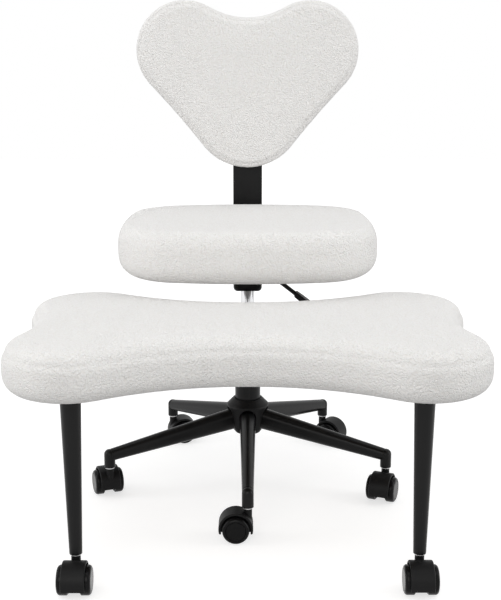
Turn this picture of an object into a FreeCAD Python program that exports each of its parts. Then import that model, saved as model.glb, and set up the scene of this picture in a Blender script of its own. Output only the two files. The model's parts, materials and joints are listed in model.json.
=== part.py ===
import FreeCAD, Part
import math
import os
import Sketcher

# Cross-legged office chair: a padded seat and heart-shaped back on a gas lift,
# a five-armed caster base, and a four-lobed padded platform that swings round
# the column on two caster legs.  X is to the right of someone facing the chair,
# Y runs from the front to the back and Z is up, in millimetres.  The origin is
# on the floor, on the axis of the column.

SIZES = {
    # Fits
    "running_gap": 0.05,
    "swivel_gap": 0.3,
    "soft_gap": 0.3,
    # Casters
    "wheel_radius": 25.0,
    "wheel_width": 18.0,
    "wheel_spacing": 21.0,
    "wheel_edge": 5.5,
    "wheel_inner_edge": 1.8,
    "wheel_groove_radius": 18.3,
    "wheel_groove_half": 0.8,
    "wheel_groove_depth": 0.8,
    "wheel_web": 5.0,
    "wheel_rim": 4.0,
    "wheel_boss": 6.5,
    "axle_radius": 3.0,
    "axle_length": 49.0,
    "hood_gap": 3.2,
    "hood_wall": 3.8,
    "hood_width": 40.0,
    "hood_skirt": 8.0,
    "hood_web": 19.0,
    "hood_round": 2.2,
    "axle_boss": 8.0,
    "axle_boss_drop": 9.0,
    "caster_trail": 22.0,
    "neck_radius": 8.0,
    "neck_rise": 3.7,
    "stem_radius": 5.5,
    "stem_length": 26.0,
    "swivel_pin_radius": 4.0,
    "swivel_pin_length": 22.0,
    "flange_radius": 9.5,
    "flange_thick": 2.0,
    # Star base
    "arm_reach": 292.0,
    "socket_radius": 11.0,
    "socket_length": 37.0,
    "socket_round": 10.5,
    "arm_root_width": 33.0,
    "arm_root_height": 46.0,
    "arm_tip_width": 21.6,
    "arm_tip_height": 25.0,
    "arm_rise": 78.0,
    "arm_tip_rise": 25.0,
    "arm_root_overlap": 11.6,
    "arm_tip_overlap": 7.7,
    "tube_wall": 2.0,
    "hub_radius": 29.0,
    "hub_below": 29.0,
    "hub_above": 32.0,
    "cover_foot_radius": 36.0,
    "cover_rim_radius": 43.0,
    "cover_top_radius": 30.0,
    "cover_wall": 3.0,
    "cover_below": 22.0,
    "cover_rim_height": 26.0,
    "cover_crown": 8.0,
    "cover_step": 1.5,
    "cover_lip": 0.9,
    "cover_arch_gap": 0.6,
    "cover_column_gap": 1.2,
    # Column and gas lift
    "column_radius": 26.0,
    "column_tail": 33.0,
    "column_floor": 6.0,
    "column_stub": 23.0,
    "guide_length": 62.0,
    "guide_flange": 4.0,
    "guide_step": 1.0,
    "lift_rise": 85.0,
    "cylinder_radius": 14.0,
    "cylinder_wall": 1.5,
    "cylinder_overlap": 10.0,
    "cylinder_cap": 10.0,
    "cylinder_chamfer": 1.0,
    "cylinder_lip": 1.0,
    "gland_length": 20.0,
    "rod_radius": 5.0,
    "piston_length": 14.0,
    "race_radius": 15.0,
    "race_thick": 3.0,
    "clip_radius": 9.0,
    "clip_thick": 2.5,
    # Platform
    "leg_length": 277.5,
    "leg_x": 287.0,
    "leg_forward": 146.0,
    "leg_top_radius": 17.5,
    "leg_tip_radius": 10.8,
    "leg_flange_radius": 38.0,
    "steel_plate": 4.0,
    "platform_reach": 338.0,
    "platform_thick": 87.8,
    "platform_top_round": 33.0,
    "platform_bottom_round": 30.0,
    "lobe_x": 286.5,
    "lobe_y": 130.0,
    "lobe_radius": 110.7,
    "waist_y": 151.0,
    "waist_x": 375.5,
    "platform_board_inset": 34.0,
    "board_thick": 12.0,
    "bracket_width": 130.0,
    "bracket_length": 170.0,
    "bracket_corner": 15.0,
    "swing_arm_width": 50.0,
    "swing_arm_height": 25.0,
    "swing_arm_past": 10.0,
    "ring_radius": 34.0,
    "ring_wall": 4.0,
    "ring_height": 40.0,
    "bush_flange": 2.0,
    "bush_step": 1.0,
    "collar_height": 12.0,
    "collar_radius": 33.0,
    "collar_chamfer": 2.0,
    # Seat
    "seat_gap": 22.7,
    "seat_half_width": 255.0,
    "seat_half_depth": 213.0,
    "seat_side_radius": 800.0,
    "seat_corner_radius": 122.0,
    "seat_thick": 102.0,
    "seat_top_round": 34.0,
    "seat_bottom_round": 45.0,
    "seat_board_inset": 48.0,
    # Seat plate, housing and lever
    "seat_plate_width": 160.0,
    "seat_plate_length": 150.0,
    "seat_plate_corner": 16.0,
    "housing_width": 56.0,
    "housing_length": 124.0,
    "housing_height": 34.0,
    "housing_wall": 2.5,
    "housing_round": 9.0,
    "housing_floor_round": 8.0,
    "cone_socket_wall": 5.0,
    "cone_length": 15.8,
    "cone_taper": 1.2,
    "valve_radius": 3.0,
    "valve_rise": 3.7,
    "valve_nose": 1.5,
    "valve_depth": 6.0,
    "valve_travel": 3.5,
    "lever_offset": 19.5,
    "lever_rod_radius": 4.2,
    "lever_tail": 4.0,
    "lever_slot_gap": 1.5,
    "lever_slot_depth": 10.5,
    "lever_eye_radius": 5.2,
    "lever_eye_width": 10.0,
    "lever_knee": 20.4,
    "lever_bend_radius": 14.0,
    "lever_length": 89.0,
    "lever_droop": 38.0,
    "lever_pin_radius": 2.5,
    "paddle_length": 52.0,
    "paddle_width": 34.0,
    "paddle_root": 24.0,
    "paddle_thick": 11.0,
    "paddle_overlap": 17.0,
    "paddle_round": 2.4,
    "tab_thick": 3.0,
    # Back
    "bar_width": 63.0,
    "bar_thick": 6.0,
    "bar_bend": 24.0,
    "bar_start": 86.0,
    "bar_gap": 15.0,
    "bar_end_round": 14.0,
    "bar_reach": 180.0,
    "back_rise": 79.7,
    "back_thick": 60.0,
    "back_front_round": 14.0,
    "back_rear_round": 14.0,
    "heart_lobe_x": 130.5,
    "heart_lobe_rise": 244.5,
    "heart_lobe_radius": 102.4,
    "heart_tip_radius": 119.0,
    "heart_side_radius": 2000.0,
    "heart_dip": 312.0,
    "back_board_inset": 26.0,
    "back_board_thick": 10.0,
    # Bolts
    "bolt_radius": 3.0,
    "bolt_head_radius": 6.0,
    "bolt_head": 4.0,
    "bolt_grip": 8.0,
    "bolt_inset": 20.0,
    "bar_bolt_inset": 14.0,
    "seat_bolt_pitch": 40.0,
    "back_bolt_pitch": 80.0,
}

ARM_COUNT = 5
FIRST_ARM = -90.0
# Which way each caster trails, in degrees: five on the base, two on the platform.
BASE_TRAILS = (180.0, -112.0, -30.0, 15.0, 110.0)
PLATFORM_TRAILS = (-90.0, -90.0)
LEG_BOLT_BEARINGS = (90.0, 210.0, 330.0)
QUARTER_TURN = 90.0
FULL_TURN = 360.0
# How far apart two places may be and still count as one, in millimetres.
SLACK = 0.01

doc = FreeCAD.newDocument("CrossLeggedChair")


class Size:
    """A length that carries both its number and the sheet formula behind it."""

    def __init__(self, value, formula):
        self.value = value
        self.formula = formula

    def __add__(self, other):
        return Size(self.value + number(other), f"({self.formula} + {formula(other)})")

    def __sub__(self, other):
        return Size(self.value - number(other), f"({self.formula} - {formula(other)})")

    def __mul__(self, other):
        return Size(self.value * number(other), f"({self.formula} * {formula(other)})")

    def __truediv__(self, other):
        return Size(self.value / number(other), f"({self.formula} / {formula(other)})")

    def __radd__(self, other):
        return self + other

    def __rmul__(self, other):
        return self * other

    def __rsub__(self, other):
        return Size(number(other) - self.value, f"({formula(other)} - {self.formula})")

    def __neg__(self):
        return Size(-self.value, f"(-1 * {self.formula})")

    def root(self):
        return Size(math.sqrt(self.value), f"sqrt({self.formula})")


def number(size):
    return size.value if isinstance(size, Size) else float(size)


def formula(size):
    return size.formula if isinstance(size, Size) else f"({float(size)!r})"


def make_sheet(sizes):
    """Put the driving sizes in a sheet and hand each back under its own name."""
    sheet = doc.addObject("Spreadsheet::Sheet", "Sizes")
    named = {}
    for row, (name, value) in enumerate(sizes.items(), start=1):
        sheet.set(f"A{row}", name)
        sheet.set(f"B{row}", repr(value))
        sheet.setAlias(f"B{row}", name)
        named[name] = Size(value, f"Sizes.{name}")
    doc.recompute()
    return named


class Names:
    """The sheet's sizes as plain attributes."""

    def __init__(self, named):
        self.__dict__.update(named)


s = Names(make_sheet(SIZES))


def bind(item, prop, size):
    """Tie a property to its formula in the sheet."""
    item.setExpression(prop, formula(size))


def vector(point):
    return FreeCAD.Vector(number(point[0]), number(point[1]), 0)


def place(item, x=0, y=0, z=0, turn=0, axis=(0, 0, 1)):
    """Stand a piece at a point, turned by an angle in degrees about an axis."""
    base = FreeCAD.Vector(number(x), number(y), number(z))
    spin = FreeCAD.Rotation(FreeCAD.Vector(*axis), number(turn))
    item.Placement = FreeCAD.Placement(base, spin)
    for name, size in (("x", x), ("y", y), ("z", z)):
        if isinstance(size, Size):
            bind(item, f"Placement.Base.{name}", size)
    if isinstance(turn, Size):
        item.setExpression("Placement.Rotation.Angle", f"{turn.formula} * 1 deg")
    return item


def new_body(label):
    body = doc.addObject("PartDesign::Body", label)
    body.Label = label
    return body


def origin_feature(body, role):
    for feature in body.Origin.OriginFeatures:
        if feature.Role == role:
            return feature
    raise ValueError(role)


def new_sketch(body, role, offset=0):
    """A sketch on one of the body's own planes, moved along that plane's normal."""
    sketch = body.newObject("Sketcher::SketchObject", f"{body.Label}_sketch")
    sketch.AttachmentSupport = [(origin_feature(body, role), "")]
    sketch.MapMode = "FlatFace"
    sketch.AttachmentOffset = FreeCAD.Placement(FreeCAD.Vector(0, 0, number(offset)), FreeCAD.Rotation())
    if isinstance(offset, Size):
        bind(sketch, "AttachmentOffset.Base.z", offset)
    return sketch


def pin_coordinate(sketch, geometry, end, kind, size):
    """Hold one coordinate of a sketch point at its formula's value."""
    value = number(size)
    axis = -2 if kind == "DistanceX" else -1
    if value == 0:
        sketch.addConstraint(Sketcher.Constraint("PointOnObject", geometry, end, axis))
        return
    if value > 0:
        index = sketch.addConstraint(Sketcher.Constraint(kind, -1, 1, geometry, end, value))
        bind(sketch, f"Constraints[{index}]", size)
    else:
        index = sketch.addConstraint(Sketcher.Constraint(kind, geometry, end, -1, 1, -value))
        bind(sketch, f"Constraints[{index}]", -1 * size)


def pin_point(sketch, geometry, end, point):
    pin_coordinate(sketch, geometry, end, "DistanceX", point[0])
    pin_coordinate(sketch, geometry, end, "DistanceY", point[1])


def line(to):
    return {"to": to}


def arc(to, centre, left=True):
    """A round stretch about a centre, turning left (or right) as it is drawn."""
    return {"to": to, "centre": centre, "left": left}


def angle_from(centre, point):
    return math.atan2(point.y - centre.y, point.x - centre.x)


def draw(sketch, start, steps):
    """Draw a closed outline from its start, through lines and arcs, and pin it."""
    ends = []
    corners = []
    corner = start
    for step in steps:
        here = vector(corner)
        there = vector(step["to"])
        index = sketch.GeometryCount
        if "centre" not in step:
            sketch.addGeometry(Part.LineSegment(here, there))
            ends.append((index, 1, 2))
        else:
            centre = vector(step["centre"])
            circle = Part.Circle(centre, FreeCAD.Vector(0, 0, 1), (here - centre).Length)
            first, last = (here, there) if step["left"] else (there, here)
            turn = (angle_from(centre, first), angle_from(centre, last))
            sketch.addGeometry(Part.ArcOfCircle(circle, *turn))
            ends.append((index, 1, 2) if step["left"] else (index, 2, 1))
        corners.append(corner)
        corner = step["to"]
    for (index, _, end), (after, begin, _) in zip(ends, ends[1:] + ends[:1]):
        sketch.addConstraint(Sketcher.Constraint("Coincident", index, end, after, begin))
    for (index, begin, _), corner in zip(ends, corners):
        pin_point(sketch, index, begin, corner)
    for (index, _, _), corner, step in zip(ends, corners, steps):
        if "centre" in step:
            chord = vector(step["to"]) - vector(corner)
            kind = "DistanceY" if abs(chord.x) > abs(chord.y) else "DistanceX"
            size = step["centre"][1] if kind == "DistanceY" else step["centre"][0]
            pin_coordinate(sketch, index, 3, kind, size)


def draw_circle(sketch, centre, radius):
    index = sketch.GeometryCount
    sketch.addGeometry(Part.Circle(vector(centre), FreeCAD.Vector(0, 0, 1), number(radius)))
    pin_point(sketch, index, 3, centre)
    size = sketch.addConstraint(Sketcher.Constraint("Radius", index, number(radius)))
    bind(sketch, f"Constraints[{size}]", radius)


def draw_polygon(sketch, points):
    draw(sketch, points[0], [line(point) for point in points[1:] + points[:1]])


def pad(body, sketch, length, both_ways=False):
    feature = body.newObject("PartDesign::Pad", f"{body.Label}_pad")
    feature.Profile = sketch
    bind(feature, "Length", length)
    feature.SideType = "Symmetric" if both_ways else "One side"
    return feature


def pocket(body, sketch, depth=None, along_normal=False, both_ways=False):
    """Cut a sketch out of the body and make sure that it took something away."""
    doc.recompute()
    before = body.Shape.Volume
    feature = body.newObject("PartDesign::Pocket", f"{body.Label}_pocket")
    feature.Profile = sketch
    feature.SideType = "Symmetric" if both_ways else "One side"
    if depth is None:
        feature.Type = "ThroughAll"
    else:
        bind(feature, "Length", depth)
    feature.Reversed = along_normal
    doc.recompute()
    if body.Shape.Volume >= before:
        raise ValueError(f"{body.Label}: a pocket cut nothing")
    return feature


def revolve(body, sketch):
    feature = body.newObject("PartDesign::Revolution", f"{body.Label}_turned")
    feature.Profile = sketch
    feature.ReferenceAxis = (sketch, ["V_Axis"])
    feature.Angle = FULL_TURN
    return feature


def round_edges(body, radius, chosen):
    """Round the edges of the body that the test picks."""
    doc.recompute()
    solid = body.Tip
    names = [f"Edge{i}" for i, edge in enumerate(solid.Shape.Edges, start=1) if chosen(edge)]
    feature = body.newObject("PartDesign::Fillet", f"{body.Label}_round")
    feature.Base = (solid, names)
    bind(feature, "Radius", radius)
    return feature


def lies_at(axis, size):
    """A test for edges that lie wholly at one height along an axis."""
    level = number(size)

    def test(edge):
        return all(abs(getattr(vertex.Point, axis) - level) < SLACK for vertex in edge.Vertexes)

    return test


def is_round(radius):
    """A test for round edges of one radius."""

    def test(edge):
        return isinstance(edge.Curve, Part.Circle) and abs(edge.Curve.Radius - radius.value) < SLACK

    return test


def turned(label, points):
    """A piece turned about Z from a profile of radius and height."""
    body = new_body(label)
    sketch = new_sketch(body, "XZ_Plane")
    draw_polygon(sketch, points)
    revolve(body, sketch)
    return body


def group(label, pieces):
    """Identical pieces that share one node, each still a solid of its own."""
    compound = doc.addObject("Part::Compound", label)
    compound.Label = label
    compound.Links = pieces
    return compound


def polar(radius, degrees):
    """A point at a radius and a bearing, as sizes."""
    turn = math.radians(degrees)
    return radius * math.cos(turn), radius * math.sin(turn)


nodes = []


def keep(*pieces):
    """List finished sub-parts, which are written under their labels."""
    nodes.extend(pieces)


# Heights, stacked up from the floor through the casters and the platform's legs.
axle_z = s.wheel_radius
hood_radius = s.wheel_radius + s.hood_gap + s.hood_wall
hood_inner = s.wheel_radius + s.hood_gap
neck_top = axle_z + hood_radius + s.neck_rise
flange_bottom = neck_top + s.swivel_gap
socket_bottom = flange_bottom + s.flange_thick
arm_z = socket_bottom + s.arm_rise
hub_bottom = arm_z - s.hub_below
hub_top = arm_z + s.hub_above
column_bottom = arm_z - s.column_tail
platform_bottom = socket_bottom + s.leg_length + s.steel_plate
platform_top = platform_bottom + s.platform_thick
plate_bottom = platform_bottom - s.steel_plate
ring_top = plate_bottom
ring_bottom = ring_top - s.ring_height
collar_top = ring_bottom - s.bush_flange - s.swivel_gap
column_top = ring_top + s.bush_flange + s.column_stub
seat_bottom = platform_top + s.seat_gap
seat_top = seat_bottom + s.seat_thick
housing_top = seat_bottom - s.steel_plate
housing_bottom = housing_top - s.housing_height
column_inner = s.column_radius - s.tube_wall
cone_bottom = housing_bottom + s.housing_wall
cone_top = cone_bottom + s.cone_length
cylinder_top = cone_top + s.cylinder_lip
valve_top = cylinder_top + s.valve_rise
lever_z = valve_top + s.swivel_gap + s.lever_rod_radius
bar_front = s.seat_half_depth + s.bar_gap
bar_rear = bar_front + s.bar_thick
back_bottom = seat_top + s.back_rise


# Casters

def caster_stem(label, depth):
    """The metal stem: a shank in the socket, a flange and the swivel pin below."""
    return turned(label, [
        (0, -s.swivel_pin_length),
        (s.swivel_pin_radius, -s.swivel_pin_length),
        (s.swivel_pin_radius, 0),
        (s.flange_radius, 0),
        (s.flange_radius, s.flange_thick),
        (s.stem_radius, s.flange_thick),
        (s.stem_radius, s.flange_thick + depth),
        (0, s.flange_thick + depth),
    ])


def caster_hood(label):
    """The moulded hood: an open half shell, a web between the wheels and a neck."""
    body = new_body(label)
    half_web = s.hood_web / 2
    skirt_z = axle_z - s.hood_skirt
    outer_x = (hood_radius * hood_radius - s.hood_skirt * s.hood_skirt).root()
    inner_x = (hood_inner * hood_inner - s.hood_skirt * s.hood_skirt).root()
    axle = (s.caster_trail, axle_z)
    shell = new_sketch(body, "XZ_Plane")
    draw(shell, (s.caster_trail + outer_x, skirt_z), [
        arc((s.caster_trail - outer_x, skirt_z), axle),
        line((s.caster_trail - inner_x, skirt_z)),
        arc((s.caster_trail + inner_x, skirt_z), axle, left=False),
        line((s.caster_trail + outer_x, skirt_z)),
    ])
    pad(body, shell, s.hood_width, both_ways=True)
    round_edges(body, s.hood_round, is_round(hood_radius))
    web = new_sketch(body, "XZ_Plane")
    draw(web, (s.caster_trail + outer_x, skirt_z), [
        arc((s.caster_trail - outer_x, skirt_z), axle),
        line((s.caster_trail - s.axle_boss, skirt_z)),
        line((s.caster_trail - s.axle_boss, axle_z - s.axle_boss_drop)),
        line((s.caster_trail + s.axle_boss, axle_z - s.axle_boss_drop)),
        line((s.caster_trail + s.axle_boss, skirt_z)),
        line((s.caster_trail + outer_x, skirt_z)),
    ])
    pad(body, web, s.hood_web, both_ways=True)
    neck = new_sketch(body, "XY_Plane", axle_z)
    draw_circle(neck, (0, 0), s.neck_radius)
    pad(body, neck, neck_top - axle_z)
    bore = new_sketch(body, "XY_Plane", neck_top)
    draw_circle(bore, (0, 0), s.swivel_pin_radius + s.running_gap)
    pocket(body, bore, s.swivel_pin_length + s.swivel_gap * 2)
    journal = new_sketch(body, "XZ_Plane")
    draw_circle(journal, axle, s.axle_radius + s.running_gap)
    pocket(body, journal, s.hood_width * 2, both_ways=True)
    return body


def caster_wheel(label):
    """A dished wheel with a ring cut in its face, open on its inner side."""
    inner = s.wheel_spacing / 2
    outer = inner + s.wheel_width
    axle_end = s.axle_length / 2 + s.swivel_gap
    bore = s.axle_radius + s.running_gap
    rim_inside = s.wheel_radius - s.wheel_rim
    edge = s.wheel_radius - s.wheel_edge
    body = new_body(label)
    profile = new_sketch(body, "XZ_Plane")
    draw(profile, (s.wheel_radius, outer - s.wheel_edge), [
        arc((edge, outer), (edge, outer - s.wheel_edge)),
        line((s.wheel_groove_radius + s.wheel_groove_half, outer)),
        line((s.wheel_groove_radius, outer - s.wheel_groove_depth)),
        line((s.wheel_groove_radius - s.wheel_groove_half, outer)),
        line((0, outer)),
        line((0, axle_end)),
        line((bore, axle_end)),
        line((bore, inner)),
        line((s.wheel_boss, inner)),
        line((s.wheel_boss, outer - s.wheel_web)),
        line((rim_inside, outer - s.wheel_web)),
        line((rim_inside, inner)),
        line((s.wheel_radius - s.wheel_inner_edge, inner)),
        line((s.wheel_radius, inner + s.wheel_inner_edge)),
        line((s.wheel_radius, outer - s.wheel_edge)),
    ])
    revolve(body, profile)
    return body


def caster_axle(label):
    half = s.axle_length / 2
    return turned(label, [(0, -half), (s.axle_radius, -half), (s.axle_radius, half), (0, half)])


def lay_along_axle(item, x, y, heading, flip):
    """Turn a piece made about Z so that it lies along the caster's axle."""
    reach_x, reach_y = polar(s.caster_trail, heading)
    place(item, x + reach_x, y + reach_y, axle_z)
    roll = FreeCAD.Rotation(FreeCAD.Vector(1, 0, 0), QUARTER_TURN if flip else -QUARTER_TURN)
    item.Placement.Rotation = FreeCAD.Rotation(FreeCAD.Vector(0, 0, 1), heading).multiply(roll)


def add_caster(name, x, y, heading):
    """One twin-wheel caster standing under a stem, trailing along its heading."""
    hood = caster_hood(f"{name}_hood")
    place(hood, x, y, 0, heading)
    wheels = []
    for side, flip in (("near", False), ("far", True)):
        wheel = caster_wheel(f"{name}_wheel_{side}")
        lay_along_axle(wheel, x, y, heading, flip)
        wheels.append(wheel)
    axle = caster_axle(f"{name}_axle")
    lay_along_axle(axle, x, y, heading, False)
    keep(hood, group(f"{name}_wheels", wheels), axle)


# Star base

def flat_oval(sketch, width, height, centre_z):
    """The section of a flattened tube: two half rounds joined by straight sides."""
    half = width / 2
    straight = height / 2 - half
    high = (0, centre_z + straight)
    low = (0, centre_z - straight)
    draw(sketch, (half, low[1]), [
        line((half, high[1])),
        arc((-half, high[1]), high),
        line((-half, low[1])),
        arc((half, low[1]), low),
    ])


def loft(body, kind, near, far):
    feature = body.newObject(f"PartDesign::{kind}", f"{body.Label}_loft")
    feature.Profile = near
    feature.Sections = [far]
    feature.Ruled = True
    return feature


def base_arm(label):
    """A tapered tube from the hub to an upright caster socket at its tip."""
    body = new_body(label)
    tip_z = socket_bottom + s.arm_tip_rise
    socket_top = socket_bottom + s.socket_length
    upright = new_sketch(body, "XZ_Plane")
    draw(upright, (0, socket_bottom), [
        line((s.socket_radius, socket_bottom)),
        line((s.socket_radius, socket_top - s.socket_round)),
        arc((s.socket_radius - s.socket_round, socket_top),
            (s.socket_radius - s.socket_round, socket_top - s.socket_round)),
        line((0, socket_top)),
        line((0, socket_bottom)),
    ])
    revolve(body, upright)
    root_x = s.hub_radius - s.arm_root_overlap - s.arm_reach
    inside = 2 * s.tube_wall
    root = new_sketch(body, "YZ_Plane", root_x)
    flat_oval(root, s.arm_root_width, s.arm_root_height, arm_z)
    tip = new_sketch(body, "YZ_Plane", s.arm_tip_overlap - s.socket_radius)
    flat_oval(tip, s.arm_tip_width, s.arm_tip_height, tip_z)
    loft(body, "AdditiveLoft", root, tip)
    hollow_root = new_sketch(body, "YZ_Plane", root_x)
    flat_oval(hollow_root, s.arm_root_width - inside, s.arm_root_height - inside, arm_z)
    hollow_tip = new_sketch(body, "YZ_Plane", -s.socket_radius - s.tube_wall)
    flat_oval(hollow_tip, s.arm_tip_width - inside, s.arm_tip_height - inside, tip_z)
    loft(body, "SubtractiveLoft", hollow_root, hollow_tip)
    saddle = new_sketch(body, "XY_Plane")
    draw_circle(saddle, (-s.arm_reach, 0), s.hub_radius + s.running_gap)
    pocket(body, saddle, along_normal=True)
    bore = new_sketch(body, "XY_Plane", socket_bottom)
    draw_circle(bore, (0, 0), s.stem_radius + s.running_gap)
    pocket(body, bore, s.stem_length + s.swivel_gap, along_normal=True)
    return body


def base_hub():
    bore = s.column_radius + s.running_gap
    return turned("base_hub", [
        (bore, hub_bottom), (s.hub_radius, hub_bottom), (s.hub_radius, hub_top), (bore, hub_top),
    ])


def hub_cover():
    """The moulded cap over the hub, arched over each arm and open underneath."""
    body = new_body("hub_cover")
    foot = arm_z - s.cover_below
    rim = arm_z + s.cover_rim_height
    crown = hub_top + s.cover_crown
    bore = s.column_radius + s.cover_column_gap
    wall = s.cover_wall
    profile = new_sketch(body, "XZ_Plane")
    draw_polygon(profile, [
        (bore, hub_top), (s.hub_radius + s.cover_step, hub_top),
        (s.cover_rim_radius - wall, rim - wall), (s.cover_foot_radius - wall, foot),
        (s.cover_foot_radius, foot), (s.cover_rim_radius, rim - s.cover_step),
        (s.cover_rim_radius - s.cover_lip, rim + s.cover_step),
        (s.cover_top_radius, crown), (bore, crown),
    ])
    revolve(body, profile)
    half = s.arm_root_width / 2 + s.cover_arch_gap
    spring = arm_z + (s.arm_root_height - s.arm_root_width) / 2
    arch = new_sketch(body, "YZ_Plane")
    draw(arch, (half, foot - wall), [
        line((half, spring)),
        arc((-half, spring), (0, spring)),
        line((-half, foot - wall)),
        line((half, foot - wall)),
    ])
    cut = pocket(body, arch, s.cover_rim_radius * 2, along_normal=True)
    ring = body.newObject("PartDesign::PolarPattern", "hub_cover_arches")
    ring.Originals = [cut]
    ring.Axis = (origin_feature(body, "Z_Axis"), [""])
    ring.Angle = FULL_TURN
    ring.Occurrences = ARM_COUNT
    body.Tip = ring
    return place(body, turn=FIRST_ARM)


def build_base():
    keep(base_hub(), hub_cover())
    stems = []
    for index, trail in enumerate(BASE_TRAILS):
        bearing = FIRST_ARM + FULL_TURN / ARM_COUNT * index
        x, y = polar(s.arm_reach, bearing)
        keep(place(base_arm(f"base_arm_{index + 1}"), x, y, 0, bearing))
        stems.append(place(caster_stem(f"base_stem_{index + 1}", s.stem_length), x, y, flange_bottom))
        add_caster(f"base_caster_{index + 1}", x, y, trail)
    keep(group("base_caster_stems", stems))


# Column and gas lift

def build_column():
    floor_top = column_bottom + s.column_floor
    race_top = floor_top + s.race_thick
    shoulder = race_top + s.swivel_gap + s.race_thick
    guide_bottom = column_top - s.guide_length
    cylinder_bottom = guide_bottom - s.lift_rise - s.cylinder_overlap
    bore = s.cylinder_radius - s.cylinder_wall
    gland_top = cylinder_bottom + s.gland_length
    piston_bottom = gland_top + s.lift_rise + s.swivel_gap * 2
    piston_top = piston_bottom + s.piston_length
    slide = s.cylinder_radius + s.running_gap
    rod_hole = s.rod_radius + s.running_gap
    clip_top = column_bottom - s.swivel_gap
    clip_bottom = clip_top - s.clip_thick
    keep(
        turned("column_tube", [
            (rod_hole, column_bottom), (s.column_radius, column_bottom),
            (s.column_radius, column_top), (column_inner, column_top),
            (column_inner, floor_top), (rod_hole, floor_top),
        ]),
        turned("guide_bush", [
            (slide, guide_bottom), (column_inner - s.running_gap, guide_bottom),
            (column_inner - s.running_gap, column_top), (s.column_radius - s.guide_step, column_top),
            (s.column_radius - s.guide_step * 2, column_top + s.guide_flange),
            (slide, column_top + s.guide_flange),
        ]),
        turned("thrust_bearing", [
            (rod_hole, floor_top), (s.race_radius, floor_top),
            (s.race_radius, race_top), (rod_hole, race_top),
        ]),
        turned("piston_rod", [
            (0, clip_bottom - s.clip_thick), (s.rod_radius, clip_bottom - s.clip_thick),
            (s.rod_radius, race_top + s.swivel_gap), (s.race_radius, race_top + s.swivel_gap),
            (s.race_radius, shoulder), (s.rod_radius, shoulder),
            (s.rod_radius, piston_bottom), (bore - s.running_gap, piston_bottom),
            (bore - s.running_gap, piston_top), (0, piston_top),
        ]),
        turned("rod_clip", [
            (rod_hole, clip_bottom), (s.clip_radius, clip_bottom),
            (s.clip_radius, clip_top), (rod_hole, clip_top),
        ]),
        gas_cylinder(cylinder_bottom, gland_top, bore, rod_hole),
        turned("valve_pin", [
            (0, cylinder_top - s.valve_depth), (s.valve_radius, cylinder_top - s.valve_depth),
            (s.valve_radius, valve_top - s.valve_nose), (s.valve_radius - s.valve_nose, valve_top),
            (0, valve_top),
        ]),
        turned("stop_collar", [
            (s.column_radius + s.running_gap, collar_top - s.collar_height),
            (s.collar_radius - s.collar_chamfer, collar_top - s.collar_height),
            (s.collar_radius, collar_top - s.collar_height + s.collar_chamfer),
            (s.collar_radius, collar_top),
            (s.column_radius + s.running_gap, collar_top),
        ]),
    )


def gas_cylinder(bottom, gland_top, bore, rod_hole):
    """The bright pressure tube, with its gland below and its cone and valve above."""
    valve_bore = s.valve_radius + s.running_gap
    valve_floor = cylinder_top - s.valve_depth - s.valve_travel - s.swivel_gap
    return turned("gas_cylinder", [
        (rod_hole, bottom), (s.cylinder_radius - s.cylinder_chamfer, bottom),
        (s.cylinder_radius, bottom + s.cylinder_chamfer),
        (s.cylinder_radius, cone_bottom), (s.cylinder_radius - s.cone_taper, cone_top),
        (s.cylinder_radius - s.cone_taper, cylinder_top), (valve_bore, cylinder_top),
        (valve_bore, valve_floor), (0, valve_floor), (0, valve_floor - s.cylinder_cap),
        (bore, valve_floor - s.cylinder_cap), (bore, gland_top), (rod_hole, gland_top),
    ])


# Platform

def mirrored_points(point):
    """A point and its three reflections, anticlockwise from the first quarter."""
    x, y = point
    return (x, y), (-x, y), (-x, -y), (x, -y)


def lobed_outline(sketch, inset):
    """Four round lobes joined by hollow arcs, all meeting smoothly."""
    cx, cy, r = s.lobe_x, s.lobe_y, s.lobe_radius
    rise = s.waist_y - cy
    run = s.waist_x - cx
    end_radius = (cx * cx - r * r + rise * rise) / (2 * (r - rise))
    side_radius = (cy * cy - r * r + run * run) / (2 * (r - run))
    end_y = s.waist_y + end_radius
    side_x = s.waist_x + side_radius
    end_share = (r - inset) / (end_radius + r)
    side_share = (r - inset) / (side_radius + r)
    end_join = mirrored_points((cx - cx * end_share, cy + (end_y - cy) * end_share))
    side_join = mirrored_points((cx + (side_x - cx) * side_share, cy - cy * side_share))
    lobes = mirrored_points((cx, cy))
    draw(sketch, side_join[0], [
        arc(end_join[0], lobes[0]),
        arc(end_join[1], (0, end_y), left=False),
        arc(side_join[1], lobes[1]),
        arc(side_join[2], (-side_x, 0), left=False),
        arc(end_join[2], lobes[2]),
        arc(end_join[3], (0, -end_y), left=False),
        arc(side_join[3], lobes[3]),
        arc(side_join[0], (side_x, 0), left=False),
    ])


def cushion(label, outline, thick, rounds, board_inset, board_depth):
    """A padded slab from its flat underside up, hollowed below to take its board."""
    body = new_body(label)
    shape = new_sketch(body, "XY_Plane")
    outline(shape, 0)
    pad(body, shape, thick)
    round_edges(body, rounds[0], lies_at("z", thick))
    round_edges(body, rounds[1], lies_at("z", 0))
    hollow = new_sketch(body, "XY_Plane")
    outline(hollow, board_inset - s.soft_gap)
    pocket(body, hollow, board_depth + s.soft_gap, along_normal=True)
    return body


def board(label, outline, inset, thick, holes):
    """A plywood panel with blind holes for its bolts from below."""
    body = new_body(label)
    shape = new_sketch(body, "XY_Plane")
    outline(shape, inset)
    pad(body, shape, thick)
    drill(body, holes, s.bolt_grip + s.swivel_gap)
    return body


def drill(body, holes, depth):
    """Bolt holes from the body's own ground plane upwards."""
    sketch = new_sketch(body, "XY_Plane")
    for hole in holes:
        draw_circle(sketch, hole, s.bolt_radius + s.running_gap)
    pocket(body, sketch, depth, along_normal=True)


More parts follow.
